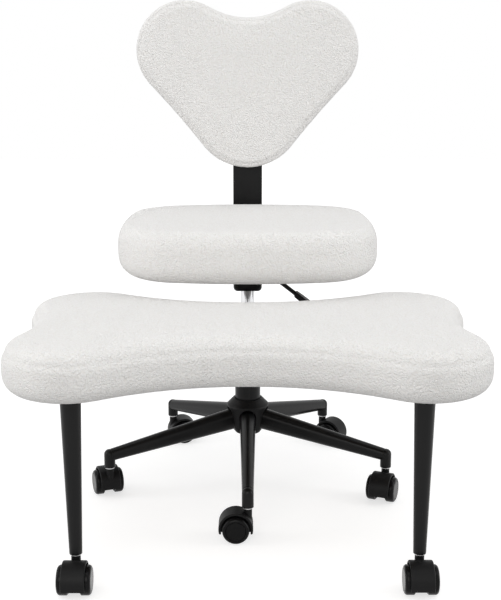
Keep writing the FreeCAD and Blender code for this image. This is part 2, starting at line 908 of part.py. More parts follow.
def bolt(label, plate):
    """A bolt with its head below a plate and its shank up into the wood."""
    return turned(label, [
        (0, -s.bolt_head), (s.bolt_head_radius, -s.bolt_head), (s.bolt_head_radius, 0),
        (s.bolt_radius, 0), (s.bolt_radius, plate + s.bolt_grip), (0, plate + s.bolt_grip),
    ])


def rounded_plate(label, half_x, half_y, corner, thick):
    body = new_body(label)
    sketch = new_sketch(body, "XY_Plane")
    inner_x = half_x - corner
    inner_y = half_y - corner
    centres = mirrored_points((inner_x, inner_y))
    sides = mirrored_points((half_x, inner_y))
    ends = mirrored_points((inner_x, half_y))
    draw(sketch, sides[0], [
        arc(ends[0], centres[0]), line(ends[1]), arc(sides[1], centres[1]), line(sides[2]),
        arc(ends[2], centres[2]), line(ends[3]), arc(sides[3], centres[3]), line(sides[0]),
    ])
    pad(body, sketch, thick)
    return body


def platform_leg(label):
    """A tapered tube with a fixing flange above and a caster socket at its foot."""
    length = s.leg_length
    wall = s.tube_wall
    plug = s.stem_length + wall
    bore = s.stem_radius + s.running_gap
    body = turned(label, [
        (bore, 0), (s.leg_tip_radius, 0), (s.leg_top_radius, length),
        (s.leg_flange_radius, length), (s.leg_flange_radius, length + s.steel_plate),
        (0, length + s.steel_plate), (0, length), (s.leg_top_radius - wall, length - wall),
        (s.leg_tip_radius - wall, plug + wall), (0, plug + wall), (0, plug), (bore, plug),
    ])
    sketch = new_sketch(body, "XY_Plane", length)
    for hole in leg_holes():
        draw_circle(sketch, hole, s.bolt_radius + s.running_gap)
    pocket(body, sketch, s.steel_plate, along_normal=True)
    return body


def leg_holes():
    """Three bolts round a leg's flange."""
    circle = (s.leg_top_radius + s.leg_flange_radius) / 2
    return [polar(circle, bearing) for bearing in LEG_BOLT_BEARINGS]


def bracket_holes():
    x = s.bracket_width / 2 - s.bolt_inset
    y = s.bracket_length / 2 - s.bolt_inset
    return mirrored_points((x, y))


def build_platform():
    centre_y = -s.platform_reach
    leg_y = centre_y - s.leg_forward
    feet = ((-s.leg_x, leg_y), (s.leg_x, leg_y))
    holes = list(bracket_holes())
    for x, _ in feet:
        holes += [(x + dx, dy - s.leg_forward) for dx, dy in leg_holes()]
    panel = board("platform_board", lobed_outline, s.platform_board_inset, s.board_thick, holes)
    pad_rounds = (s.platform_top_round, s.platform_bottom_round)
    soft = cushion("platform_cushion", lobed_outline, s.platform_thick, pad_rounds,
                   s.platform_board_inset, s.board_thick)
    keep(place(panel, 0, centre_y, platform_bottom), place(soft, 0, centre_y, platform_bottom))
    keep(bracket(centre_y), swing_arm(), swing_ring(), ring_bush())
    screws = []
    for index, (x, y) in enumerate(holes, start=1):
        screw = bolt(f"platform_bolt_{index}", s.steel_plate)
        screws.append(place(screw, x, centre_y + y, plate_bottom))
    keep(group("platform_bolts", screws))
    stems = []
    for side, (x, y), trail in zip(("left", "right"), feet, PLATFORM_TRAILS):
        keep(place(platform_leg(f"platform_leg_{side}"), x, y, socket_bottom))
        stems.append(place(caster_stem(f"platform_stem_{side}", s.stem_length), x, y, flange_bottom))
        add_caster(f"platform_caster_{side}", x, y, trail)
    keep(group("platform_caster_stems", stems))


def bracket(centre_y):
    """The plate that carries the padded board on the swing arm."""
    body = rounded_plate("platform_bracket", s.bracket_width / 2, s.bracket_length / 2,
                         s.bracket_corner, s.steel_plate)
    drill(body, bracket_holes(), s.steel_plate)
    return place(body, 0, centre_y, plate_bottom)


def swing_arm():
    """A box tube from the ring to just past the middle of the bracket."""
    body = new_body("swing_arm")
    half = s.swing_arm_width / 2
    wall = s.tube_wall
    top = plate_bottom
    low = top - s.swing_arm_height
    length = s.platform_reach + s.swing_arm_past
    outer = new_sketch(body, "XZ_Plane")
    draw_polygon(outer, [(-half, low), (half, low), (half, top), (-half, top)])
    pad(body, outer, length)
    inner = new_sketch(body, "XZ_Plane")
    draw_polygon(inner, [(wall - half, low + wall), (half - wall, low + wall),
                         (half - wall, top - wall), (wall - half, top - wall)])
    pocket(body, inner, length, along_normal=True)
    saddle = new_sketch(body, "XY_Plane")
    draw_circle(saddle, (0, 0), s.ring_radius + s.running_gap)
    pocket(body, saddle, along_normal=True)
    return body


def swing_ring():
    inner = s.ring_radius - s.ring_wall
    return turned("swing_ring", [
        (inner, ring_bottom), (s.ring_radius, ring_bottom), (s.ring_radius, ring_top), (inner, ring_top),
    ])


def ring_bush():
    """A flanged plastic bush that lets the ring turn on the column."""
    slide = s.column_radius + s.running_gap
    outer = s.ring_radius - s.ring_wall - s.running_gap
    lip = s.ring_radius - s.bush_step
    return turned("ring_bush", [
        (slide, ring_bottom - s.bush_flange), (lip, ring_bottom - s.bush_flange), (lip, ring_bottom),
        (outer, ring_bottom), (outer, ring_top), (lip, ring_top), (lip, ring_top + s.bush_flange),
        (slide, ring_top + s.bush_flange),
    ])


# Seat

def seat_outline(sketch, inset):
    """A soft rectangle: bowed sides run smoothly into large round corners."""
    a, b = s.seat_half_width, s.seat_half_depth
    side, corner = s.seat_side_radius, s.seat_corner_radius
    end_y = b - side
    side_x = a - side
    reach = side - corner
    span = side_x * side_x + end_y * end_y
    lean = (reach * reach / span - 0.25).root()
    cx = side_x / 2 - lean * end_y
    cy = end_y / 2 - lean * side_x
    share = (side - inset) / reach
    end_join = mirrored_points((cx * share, end_y + (cy - end_y) * share))
    side_join = mirrored_points((side_x + (cx - side_x) * share, cy * share))
    corners = mirrored_points((cx, cy))
    draw(sketch, side_join[0], [
        arc(end_join[0], corners[0]),
        arc(end_join[1], (0, end_y)),
        arc(side_join[1], corners[1]),
        arc(side_join[2], (-side_x, 0)),
        arc(end_join[2], corners[2]),
        arc(end_join[3], (0, -end_y)),
        arc(side_join[3], corners[3]),
        arc(side_join[0], (side_x, 0)),
    ])


def plate_holes():
    x = s.seat_plate_width / 2 - s.bolt_inset
    y = s.seat_plate_length / 2 - s.bolt_inset
    return mirrored_points((x, y))


def bar_seat_holes():
    """Four bolts that hold the back bar up to the seat board."""
    x = s.bar_width / 2 - s.bar_bolt_inset
    first = s.bar_start + s.bolt_inset
    second = first + s.seat_bolt_pitch
    return [(x, first), (-x, first), (-x, second), (x, second)]


def seat_plate():
    """The pressed plate under the seat, with two tabs bent down for the lever pin."""
    body = rounded_plate("seat_plate", s.seat_plate_width / 2, s.seat_plate_length / 2,
                         s.seat_plate_corner, s.steel_plate)
    drill(body, plate_holes(), s.steel_plate)
    drop = housing_top - lever_z + s.lever_eye_radius
    half = s.lever_eye_radius - s.swivel_gap
    inner = s.lever_eye_width / 2 + s.swivel_gap
    for near in (inner, -inner - s.tab_thick):
        tab = new_sketch(body, "XZ_Plane", near)
        draw_polygon(tab, [(s.lever_offset - half, -drop), (s.lever_offset + half, -drop),
                           (s.lever_offset + half, 0), (s.lever_offset - half, 0)])
        pad(body, tab, s.tab_thick)
    hole = new_sketch(body, "XZ_Plane")
    draw_circle(hole, (s.lever_offset, lever_z - housing_top), s.lever_pin_radius + s.running_gap)
    pocket(body, hole, s.housing_length, both_ways=True)
    return place(body, 0, 0, housing_top)


def lever_pin():
    half = s.lever_eye_width / 2 + s.swivel_gap + s.tab_thick
    pin = turned("lever_pin", [
        (0, -half), (s.lever_pin_radius, -half), (s.lever_pin_radius, half), (0, half),
    ])
    return place(pin, s.lever_offset, 0, lever_z, QUARTER_TURN, (1, 0, 0))


def lift_housing():
    """The pressed tray that holds the lift's cone, slotted at one side for the lever."""
    body = rounded_plate("lift_housing", s.housing_width / 2, s.housing_length / 2,
                         s.housing_round, s.housing_height)
    round_edges(body, s.housing_floor_round, lies_at("z", 0))
    doc.recompute()
    solid = body.Tip
    top = [f"Face{i}" for i, face in enumerate(solid.Shape.Faces, start=1)
           if face.BoundBox.ZMin > s.housing_height.value - SLACK]
    shell = body.newObject("PartDesign::Thickness", "lift_housing_shell")
    shell.Base = (solid, top)
    bind(shell, "Value", s.housing_wall)
    shell.Reversed = True
    floor_hole = new_sketch(body, "XY_Plane")
    draw_circle(floor_hole, (0, 0), s.cylinder_radius + s.soft_gap)
    pocket(body, floor_hole, along_normal=True)
    half = s.lever_rod_radius + s.lever_slot_gap
    slot = new_sketch(body, "YZ_Plane")
    low = lever_z - housing_bottom - s.lever_slot_depth
    draw_polygon(slot, [(-half, low), (half, low), (half, s.housing_height), (-half, s.housing_height)])
    pocket(body, slot, along_normal=True)
    return place(body, 0, 0, housing_bottom)


def cone_socket():
    """The turned socket that grips the lift's cone."""
    low = s.cylinder_radius + s.running_gap
    return turned("cone_socket", [
        (low, cone_bottom), (low + s.cone_socket_wall, cone_bottom),
        (low + s.cone_socket_wall, cone_top), (low - s.cone_taper, cone_top),
    ])


def lever_rod():
    """A bent rod: a short arm over the valve, an eye for its pin and a drooping run."""
    body = new_body("lever_rod")
    droop = math.radians(s.lever_droop.value)
    knee_x = s.lever_offset + s.lever_knee
    setback = s.lever_bend_radius * math.tan(droop / 2)
    bend_start = (knee_x - setback, lever_z)
    bend_end = (knee_x + setback * math.cos(droop), lever_z - setback * math.sin(droop))
    centre = (knee_x - setback, lever_z - s.lever_bend_radius)
    foot = (knee_x + s.lever_length * math.cos(droop), lever_z - s.lever_length * math.sin(droop))
    start = (-s.lever_tail, lever_z)
    path = new_sketch(body, "XZ_Plane")
    path.addGeometry(Part.LineSegment(vector(start), vector(bend_start)))
    circle = Part.Circle(vector(centre), FreeCAD.Vector(0, 0, 1), s.lever_bend_radius.value)
    path.addGeometry(Part.ArcOfCircle(circle, math.pi / 2 - droop, math.pi / 2))
    path.addGeometry(Part.LineSegment(vector(bend_end), vector(foot)))
    path.addConstraint(Sketcher.Constraint("Coincident", 0, 2, 1, 2))
    path.addConstraint(Sketcher.Constraint("Coincident", 1, 1, 2, 1))
    for geometry, end, point in ((0, 1, start), (0, 2, bend_start), (2, 1, bend_end), (2, 2, foot)):
        pin_point(path, geometry, end, point)
    pin_coordinate(path, 1, 3, "DistanceY", centre[1])
    section = new_sketch(body, "YZ_Plane", start[0])
    draw_circle(section, (0, lever_z), s.lever_rod_radius)
    rod = body.newObject("PartDesign::AdditivePipe", "lever_rod_run")
    rod.Profile = section
    rod.Spine = (path, ["Edge1", "Edge2", "Edge3"])
    eye = new_sketch(body, "XZ_Plane")
    draw_circle(eye, (s.lever_offset, lever_z), s.lever_eye_radius)
    pad(body, eye, s.lever_eye_width, both_ways=True)
    bore = new_sketch(body, "XZ_Plane")
    draw_circle(bore, (s.lever_offset, lever_z), s.lever_pin_radius + s.running_gap)
    pocket(body, bore, s.lever_eye_width * 2, both_ways=True)
    return body


def lever_paddle():
    """The flat grip moulded on the end of the rod."""
    droop = math.radians(s.lever_droop.value)
    body = new_body("lever_paddle")
    half = s.paddle_width / 2
    root = s.paddle_root / 2
    bar = s.paddle_thick / 2
    length = s.paddle_length
    shape = new_sketch(body, "XY_Plane", -bar)
    draw(shape, (0, -root), [
        line((s.paddle_overlap, -half)),
        line((length - half, -half)),
        arc((length - half, half), (length - half, 0)),
        line((s.paddle_overlap, half)),
        line((0, root)),
        line((0, -root)),
    ])
    pad(body, shape, s.paddle_thick)
    round_edges(body, s.paddle_round, lambda edge: lies_at("z", -bar)(edge) or lies_at("z", bar)(edge))
    bore = new_sketch(body, "YZ_Plane")
    draw_circle(bore, (0, 0), s.lever_rod_radius + s.running_gap)
    pocket(body, bore, s.paddle_overlap + s.swivel_gap, along_normal=True)
    start = s.lever_length - s.paddle_overlap
    x = s.lever_offset + s.lever_knee + start * math.cos(droop)
    z = lever_z - start * math.sin(droop)
    return place(body, x, 0, z, s.lever_droop, (0, 1, 0))


# Back

def heart_outline(sketch, inset):
    """Two round lobes and a round tip joined by hollow sides, with a dip on top."""
    lobe, tip, hollow = s.heart_lobe_radius, s.heart_tip_radius, s.heart_side_radius
    lx, lz = s.heart_lobe_x, s.heart_lobe_rise
    rise = lz - tip
    span = (lx * lx + rise * rise).root()
    to_tip = hollow + tip
    to_lobe = hollow + lobe
    along = (span * span + to_tip * to_tip - to_lobe * to_lobe) / (2 * span)
    across = (to_tip * to_tip - along * along).root()
    side_x = (along * lx + across * rise) / span
    side_z = tip + (along * rise - across * lx) / span
    step = s.heart_dip - lz
    dip = (lx * lx + step * step - lobe * lobe) / (2 * (lobe - step))
    dip_z = s.heart_dip + dip
    dip_share = (lobe - inset) / (lobe + dip)
    side_share = (lobe - inset) / to_lobe
    tip_share = (tip - inset) / to_tip
    top = (lx - lx * dip_share, lz + (dip_z - lz) * dip_share)
    side = (lx + (side_x - lx) * side_share, lz + (side_z - lz) * side_share)
    low = (side_x * tip_share, tip + (side_z - tip) * tip_share)
    draw(sketch, side, [
        arc(top, (lx, lz)),
        arc((-top[0], top[1]), (0, dip_z), left=False),
        arc((-side[0], side[1]), (-lx, lz)),
        arc((-low[0], low[1]), (-side_x, side_z), left=False),
        arc(low, (0, tip)),
        arc(side, (side_x, side_z), left=False),
    ])


def back_holes():
    """Bolt places on the back board, measured up from the tip of the heart."""
    x = s.bar_width / 2 - s.bar_bolt_inset
    high = s.bar_reach - s.bolt_inset
    low = high - s.back_bolt_pitch
    return [(x, high), (-x, high), (-x, low), (x, low)]


def back_bar():
    """A flat steel bar bent up behind the seat, drilled for its bolts."""
    body = new_body("back_bar")
    low = seat_bottom - s.bar_thick
    top = back_bottom + s.bar_reach
    bend_y = bar_front - s.bar_bend
    bend_z = seat_bottom + s.bar_bend
    side = new_sketch(body, "YZ_Plane")
    draw(side, (s.bar_start, low), [
        line((bend_y, low)),
        arc((bar_rear, bend_z), (bend_y, bend_z)),
        line((bar_rear, top)),
        line((bar_front, top)),
        line((bar_front, bend_z)),
        arc((bend_y, seat_bottom), (bend_y, bend_z), left=False),
        line((s.bar_start, seat_bottom)),
        line((s.bar_start, low)),
    ])
    pad(body, side, s.bar_width, both_ways=True)
    doc.recompute()

    def end_corner(edge):
        box = edge.BoundBox
        upper = box.ZMin > top.value - SLACK and box.YLength > s.bar_thick.value - SLACK
        front = box.YMax < s.bar_start.value + SLACK and box.ZLength > s.bar_thick.value - SLACK
        return (upper or front) and box.XLength < SLACK

    round_edges(body, s.bar_end_round, end_corner)
    flat = new_sketch(body, "XY_Plane", low)
    for hole in bar_seat_holes():
        draw_circle(flat, hole, s.bolt_radius + s.running_gap)
    pocket(body, flat, s.bar_thick, along_normal=True)
    upright = new_sketch(body, "XZ_Plane", -bar_rear)
    for x, z in back_holes():
        draw_circle(upright, (x, back_bottom + z), s.bolt_radius + s.running_gap)
    pocket(body, upright, s.bar_thick, along_normal=True)
    return body


def stand_up(item):
    """Turn a slab made lying down so that its underside faces the back."""
    place(item, 0, bar_front, back_bottom, QUARTER_TURN, (1, 0, 0))
    return item


def build_seat():
    rounds = (s.seat_top_round, s.seat_bottom_round)
    seat_holes = list(plate_holes()) + bar_seat_holes()
    soft = cushion("seat_cushion", seat_outline, s.seat_thick, rounds, s.seat_board_inset, s.board_thick)
    panel = board("seat_board", seat_outline, s.seat_board_inset, s.board_thick, seat_holes)
    keep(place(soft, 0, 0, seat_bottom), place(panel, 0, 0, seat_bottom))
    keep(seat_plate(), lift_housing(), cone_socket(), lever_pin(), lever_rod(), lever_paddle())
    back_rounds = (s.back_front_round, s.back_rear_round)
    back_soft = cushion("back_cushion", heart_outline, s.back_thick, back_rounds,
                        s.back_board_inset, s.back_board_thick)
    back_panel = board("back_board", heart_outline, s.back_board_inset, s.back_board_thick, back_holes())
    keep(stand_up(back_soft), stand_up(back_panel), back_bar())
    bolts = []
    for index, (x, y) in enumerate(plate_holes(), start=1):
        bolts.append(place(bolt(f"plate_bolt_{index}", s.steel_plate), x, y, housing_top))
    for index, (x, y) in enumerate(bar_seat_holes(), start=1):
        bolts.append(place(bolt(f"bar_bolt_{index}", s.bar_thick), x, y, seat_bottom - s.bar_thick))
    keep(group("seat_bolts", bolts))
    back_bolts = []
    for index, (x, z) in enumerate(back_holes(), start=1):
        screw = bolt(f"back_bolt_{index}", s.bar_thick)
        back_bolts.append(place(screw, x, bar_rear, back_bottom + z, QUARTER_TURN, (1, 0, 0)))
    keep(group("back_bolts", back_bolts))


def write_parts():
    """Refuse a broken document, then write each sub-part under its label."""
    doc.recompute()
    for item in doc.Objects:
        if {"Invalid", "Error"} & set(item.State):
            raise ValueError(f"{item.Label} did not build: {item.State}")
    for node in nodes:
        if node.Shape.isNull() or not node.Shape.isValid():
            raise ValueError(f"{node.Label} has no sound shape")
    os.makedirs("parts", exist_ok=True)
    for node in nodes:
        node.Shape.exportStep(f"parts/{node.Label}.step")


build_base()
build_column()
build_platform()
build_seat()
write_parts()
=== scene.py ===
# %% [markdown]
# # A cross-legged office chair
#
# The chair has three padded pieces in nubbly off-white fabric: a soft square seat,
# a heart-shaped back and a wide four-lobed platform.  They stand on black steel:
# a star base with casters, a gas lift, and two tapered legs.  The rigid pieces come
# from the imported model, which is the fixed frame here.  This lesson gives them their
# finishes, and makes the padded pieces and the bolt heads anew.

# %% Load the frame
import json
import math

import bmesh
import bpy
import numpy as np
from mathutils import Matrix, Vector, kdtree


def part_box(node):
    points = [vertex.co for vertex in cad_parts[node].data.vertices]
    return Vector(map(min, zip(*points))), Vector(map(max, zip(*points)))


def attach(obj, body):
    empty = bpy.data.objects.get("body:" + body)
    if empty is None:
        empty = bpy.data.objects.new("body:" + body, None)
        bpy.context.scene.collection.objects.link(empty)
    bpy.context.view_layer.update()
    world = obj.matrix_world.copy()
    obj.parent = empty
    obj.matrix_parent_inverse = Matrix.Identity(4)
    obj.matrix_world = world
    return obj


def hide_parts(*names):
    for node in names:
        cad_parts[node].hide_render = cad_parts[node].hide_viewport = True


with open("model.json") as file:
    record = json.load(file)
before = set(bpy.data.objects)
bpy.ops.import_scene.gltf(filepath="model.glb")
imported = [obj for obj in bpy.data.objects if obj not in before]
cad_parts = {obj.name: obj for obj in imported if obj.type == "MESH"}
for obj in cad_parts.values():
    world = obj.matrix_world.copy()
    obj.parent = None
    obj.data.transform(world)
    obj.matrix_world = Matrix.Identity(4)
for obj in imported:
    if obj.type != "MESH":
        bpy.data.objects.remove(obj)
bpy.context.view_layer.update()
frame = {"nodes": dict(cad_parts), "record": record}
pieces = frame["nodes"]
scene = bpy.context.scene
scene.view_settings.view_transform = "Standard"
print("pieces in the frame:", len(pieces))

# %% [markdown]
# ## Arithmetic for finishes
#
# A finish is a small network of nodes.  Wiring it by hand takes many lines, and the
# sums get lost in them.  Here a socket is wrapped in a class whose operators add the
# Math nodes, so that a height reads as one expression.  Every other node comes from
# one method, which sets the node's own settings first and then its sockets.

# %% Add a node to a tree


def add(tree, kind, settings=None, inputs=None):
    """A node of a tree: its settings first, then the values or links of its sockets."""
    made = tree.nodes.new(kind)
    for name, value in (settings or {}).items():
        setattr(made, name, value)
    for name, value in (inputs or {}).items():
        if isinstance(value, bpy.types.NodeSocket):
            tree.links.new(value, made.inputs[name])
        else:
            made.inputs[name].default_value = value
    return made.outputs


# %% Wrap a socket and a material


class Wire:
    """The output of a node, with arithmetic that adds Math nodes."""

    def __init__(self, finish, socket):
        self.finish = finish
        self.socket = socket

    def sum(self, operation, first, second):
        inputs = {0: first, 1: second}
        return self.finish.node("ShaderNodeMath", {"operation": operation}, inputs)

    def __add__(self, other):
        return self.sum("ADD", self, other)

    def __sub__(self, other):
        return self.sum("SUBTRACT", self, other)

    def __rsub__(self, other):
        return self.sum("SUBTRACT", other, self)

    def __mul__(self, other):
        return self.sum("MULTIPLY", self, other)

    __radd__ = __add__
    __rmul__ = __mul__


class Finish:
    """A material that is built up node by node."""

    def __init__(self, name, fixed=None):
        self.material = bpy.data.materials.new(name)
        self.material.use_nodes = True
        self.tree = self.material.node_tree
        self.shader = self.tree.nodes["Principled BSDF"]
        self.place = self.node("ShaderNodeTexCoord", output="Object")
        for socket, value in (fixed or {}).items():
            self.shader.inputs[socket].default_value = value

    def node(self, kind, settings=None, inputs=None, output=0):
        plain = {
            name: value.socket if isinstance(value, Wire) else value
            for name, value in (inputs or {}).items()
        }
        return Wire(self, add(self.tree, kind, settings, plain)[output])

    def noise(self, scale, detail=2.0, vector=None):
        inputs = {"Vector": vector or self.place, "Scale": scale, "Detail": detail}
        return self.node("ShaderNodeTexNoise", {}, inputs)

    def stretched(self, scale):
        return self.node("ShaderNodeMapping", {}, {"Vector": self.place, "Scale": scale})

    def blend(self, share, low, high):
        """Mix two colours, through the Mix node's sockets for colour: 6, 7 and output 2."""
        inputs = {0: share, 6: low, 7: high}
        return self.node("ShaderNodeMix", {"data_type": "RGBA"}, inputs, 2)

    def drive(self, name, wire):
        self.tree.links.new(wire.socket, self.shader.inputs[name])

    def colour(self, wire):
        self.drive("Base Color", wire)

    def roughness(self, wire):
        self.drive("Roughness", wire)

    def bump(self, height, depth, strength):
        inputs = {"Height": height, "Distance": depth, "Strength": strength}
        self.drive("Normal", self.node("ShaderNodeBump", {}, inputs))


def tint(red, green, blue):
    return (red, green, blue, 1.0)


# %% [markdown]
# ## The nubbly fabric
#
# The covers are a looped, curly fabric.  Its curls are 3 to 4 mm across, pale on top
# and a little greyer in between, a painted shade of the hollows.  An even grid of bumps
# would look like a golf ball, so the cells are bent by a noise first, and finer noise
# breaks each curl up.  One height feeds both the colour and the bump, so the painted
# shade falls in the hollows.

# %% Make the fabric
CURL = 0.0033
CURL_DEPTH = 0.0035


def boucle_finish():
    f = Finish("nubbly_fabric", {"Sheen Weight": 0.25, "Sheen Roughness": 0.6})
    inputs = {"Vector": f.place, "Scale": 0.7 / CURL}
    drift = f.node("ShaderNodeTexNoise", {}, inputs, "Color")
    inputs = {0: drift, 1: (CURL,) * 3, 2: f.place}
    bent = f.node("ShaderNodeVectorMath", {"operation": "MULTIPLY_ADD"}, inputs)
    inputs = {"Vector": bent, "Scale": 1.0 / CURL, "Smoothness": 0.2}
    cells = f.node("ShaderNodeTexVoronoi", {"feature": "SMOOTH_F1"}, inputs, "Distance")
    loops = f.noise(3.2 / CURL, 3.0)
    height = (1 - cells) * 0.75 + loops * 0.45
    cloud = f.noise(14.0, 3.0)
    pale = f.blend(cloud, tint(0.862, 0.856, 0.846), tint(0.882, 0.88, 0.875))
    # The hollows between the curls are coloured greyer here: painted shade, not the yarn's
    # own colour.
    f.colour(f.blend(height * 2.0 - 0.6, tint(0.82, 0.80, 0.775), pale))
    f.roughness(0.92 + cloud * 0.06)
    f.bump(height, CURL_DEPTH, 1.0)
    return f.material


boucle = boucle_finish()
print("fabric nodes:", len(boucle.node_tree.nodes))

# %% [markdown]
# ## Black steel, plastics, bright metal and wood
#
# The tubes are powder coated.  Such a coat is satin black, with a very fine orange
# peel that spreads each highlight along the tube.  The moulded pieces are duller and
# a little grainy, the wheels are smoother, and the lift's cylinder is chromed.  The
# small steel parts are zinc plated, with a drawn grain along them.  The boards under
# the pads are plywood.  Photographs could give such looks, but noise has no seams and
# no fixed size, so each finish is a few noises that vary its colour and its gloss.

# %% Make the hard finishes
DEEP_BLACK = tint(0.004, 0.004, 0.0042)
PLASTIC_BLACK = tint(0.007, 0.007, 0.0073)
COAT_BLACK = tint(0.008, 0.008, 0.0083)


def powder_coat():
    f = Finish("black_powder_coat", {"Specular IOR Level": 0.155})
    peel = f.noise(900.0, 2.0)
    wear = f.noise(22.0, 4.0)
    f.colour(f.blend(wear, DEEP_BLACK, COAT_BLACK))
    f.roughness(0.24 + wear * 0.12)
    f.bump(peel, 0.0004, 0.18)
    return f.material


def moulded_plastic():
    f = Finish("moulded_black_plastic", {"Specular IOR Level": 0.14})
    grain = f.noise(1500.0, 3.0)
    cloud = f.noise(30.0, 3.0)
    f.colour(f.blend(cloud, DEEP_BLACK, PLASTIC_BLACK))
    f.roughness(0.40 + grain * 0.14)
    f.bump(grain, 0.0003, 0.25)
    return f.material


def wheel_nylon():
    f = Finish("wheel_nylon", {"Specular IOR Level": 0.1})
    scuff = f.noise(120.0, 5.0)
    f.colour(f.blend(scuff, DEEP_BLACK, PLASTIC_BLACK))
    f.roughness(0.13 + scuff * 0.12)
    f.bump(scuff, 0.0002, 0.08)
    return f.material


def bright_chrome():
    f = Finish("bright_chrome", {"Metallic": 1.0})
    turning = f.noise(1.0, 3.0, f.stretched((60.0, 60.0, 2600.0)))
    f.colour(f.blend(turning, tint(0.55, 0.55, 0.56), tint(0.63, 0.63, 0.64)))
    f.roughness(0.07 + turning * 0.07)
    return f.material


def zinc_plate():
    f = Finish("zinc_plated_steel", {"Metallic": 1.0})
    drawn = f.noise(1.0, 4.0, f.stretched((1800.0, 1800.0, 220.0)))
    f.colour(f.blend(drawn, tint(0.50, 0.50, 0.51), tint(0.70, 0.70, 0.70)))
    f.roughness(0.28 + drawn * 0.18)
    f.bump(drawn, 0.0002, 0.12)
    return f.material


def plywood():
    f = Finish("plywood")
    grain = f.noise(1.0, 5.0, f.stretched((26.0, 300.0, 300.0)))
    plies = f.noise(1.0, 2.0, f.stretched((4.0, 4.0, 700.0)))
    wood = f.blend(grain, tint(0.36, 0.24, 0.14), tint(0.60, 0.45, 0.28))
    f.colour(f.blend(plies * 0.5, wood, tint(0.52, 0.38, 0.24)))
    f.roughness(0.62 + grain * 0.2)
    f.bump(grain, 0.0004, 0.3)
    return f.material


finishes = {
    "boucle": boucle,
    "black_steel": powder_coat(),
    "black_plastic": moulded_plastic(),
    "black_nylon": wheel_nylon(),
    "bright_chrome": bright_chrome(),
    "zinc_steel": zinc_plate(),
    "plywood": plywood(),
}
print("finishes:", sorted(finishes))

# %% [markdown]
# ## A finish for each piece
#
# The record names a material slot for each node, so the rigid pieces take the finish
# of their slot.  Choosing by hand could give two alike pieces different looks.

# %% Give the pieces their finishes
slot_of = {part["node"]: part["material_slot"] for part in frame["record"]["subparts"]}
for name, piece in pieces.items():
    for holder in piece.material_slots:
        holder.material = finishes[slot_of[name]]
print("pieces with a finish:", len(slot_of))

# %% [markdown]
# ## Outlines of touching circles
#
# Each padded piece has an outline of round corners that run smoothly into hollow or
# bowed sides.  That is a chain of circles, each touching the next.  Where two circles
# curve the same way they share a tangent, and where one is hollow they meet on the
# line between their centres.  A ring further in keeps the centres and changes the
# radii, so rings at any inset match point for point.

# %% Draw a ring round a chain of circles


def meeting_angles(a, b):
    """Where the outline leaves circle a and comes to circle b, as angles."""
    (ax, ay, ar, a_hollow), (bx, by, br, b_hollow) = a, b
    heading = math.atan2(by - ay, bx - ax)
    if a_hollow != b_hollow:
        return heading, heading + math.pi
    lean = (ar - br) / math.hypot(bx - ax, by - ay)
    angle = heading - math.acos(max(-1.0, min(1.0, lean)))
    return angle, angle


def ring(circles, inset, step=0.006):
    """Points round an outline, drawn in by an inset, the same number at any inset."""
    points = []
    befores, afters = circles[-1:] + circles[:-1], circles[1:] + circles[:1]
    for before, here, after in zip(befores, circles, afters):
        x, y, radius, hollow = here
        start = meeting_angles(before, here)[1]
        turn = meeting_angles(here, after)[0] - start
        turn = -((-turn) % math.tau) if hollow else turn % math.tau
        count = max(2, round(abs(turn) * radius / step))
        angles = start + turn * np.linspace(0.0, 1.0, count + 1)
        reach = radius + inset if hollow else radius - inset
        points.append(np.c_[x + reach * np.cos(angles), y + reach * np.sin(angles)])
    return np.vstack(points)


pill = ring([(0.1, 0.0, 0.05, False), (-0.1, 0.0, 0.05, False)], 0.0)
print("two circles make a pill of", np.ptp(pill, axis=0).round(3), "m")

# %% [markdown]
# ## The three outlines
#
# The platform has four round lobes with a hollow between each two.  The seat has bowed
# sides and round corners.  The heart has two lobes, a dip between them, a round tip
# and slightly hollow sides.  Each chain is worked out from a few measures, and the
# circles between follow from where they have to touch.

# %% Work out the circles
PLATFORM_HOLLOW_Y = 0.151
PLATFORM_HOLLOW_X = 0.3755
SEAT_HALF_WIDTH = 0.255
SEAT_HALF_DEPTH = 0.213


def platform_circles():
    x, y, lobe = 0.2865, 0.130, 0.1107
    rise, run = PLATFORM_HOLLOW_Y - y, PLATFORM_HOLLOW_X - x
    end = (x * x - lobe * lobe + rise * rise) / (2 * (lobe - rise))
    side = (y * y - lobe * lobe + run * run) / (2 * (lobe - run))
    end_y, side_x = PLATFORM_HOLLOW_Y + end, PLATFORM_HOLLOW_X + side
    return [
        (x, y, lobe, False), (0, end_y, end, True),
        (-x, y, lobe, False), (-side_x, 0, side, True),
        (-x, -y, lobe, False), (0, -end_y, end, True),
        (x, -y, lobe, False), (side_x, 0, side, True),
    ]


def seat_circles():
    bow, corner = 0.800, 0.122
    side_x, end_y = SEAT_HALF_WIDTH - bow, SEAT_HALF_DEPTH - bow
    lean = math.sqrt((bow - corner) ** 2 / (side_x ** 2 + end_y ** 2) - 0.25)
    x, y = side_x / 2 - lean * end_y, end_y / 2 - lean * side_x
    return [
        (side_x, 0, bow, False), (x, y, corner, False),
        (0, end_y, bow, False), (-x, y, corner, False),
        (-side_x, 0, bow, False), (-x, -y, corner, False),
        (0, -end_y, bow, False), (x, -y, corner, False),
    ]


def heart_circles():
    x, z, lobe = 0.1305, 0.2445, 0.1024
    tip, dip_z, hollow = 0.119, 0.312, 2.0
    step = dip_z - z
    dip = (x * x + step * step - lobe * lobe) / (2 * (lobe - step))
    rise = z - tip
    span = math.hypot(x, rise)
    along = (span ** 2 + (hollow + tip) ** 2 - (hollow + lobe) ** 2) / (2 * span)
    across = math.sqrt((hollow + tip) ** 2 - along ** 2)
    side_x = (along * x + across * rise) / span
    side_z = tip + (along * rise - across * x) / span
    return [
        (x, z, lobe, False), (0, dip_z + dip, dip, True),
        (-x, z, lobe, False), (-side_x, side_z, hollow, True),
        (0, tip, tip, False), (side_x, side_z, hollow, True),
    ]


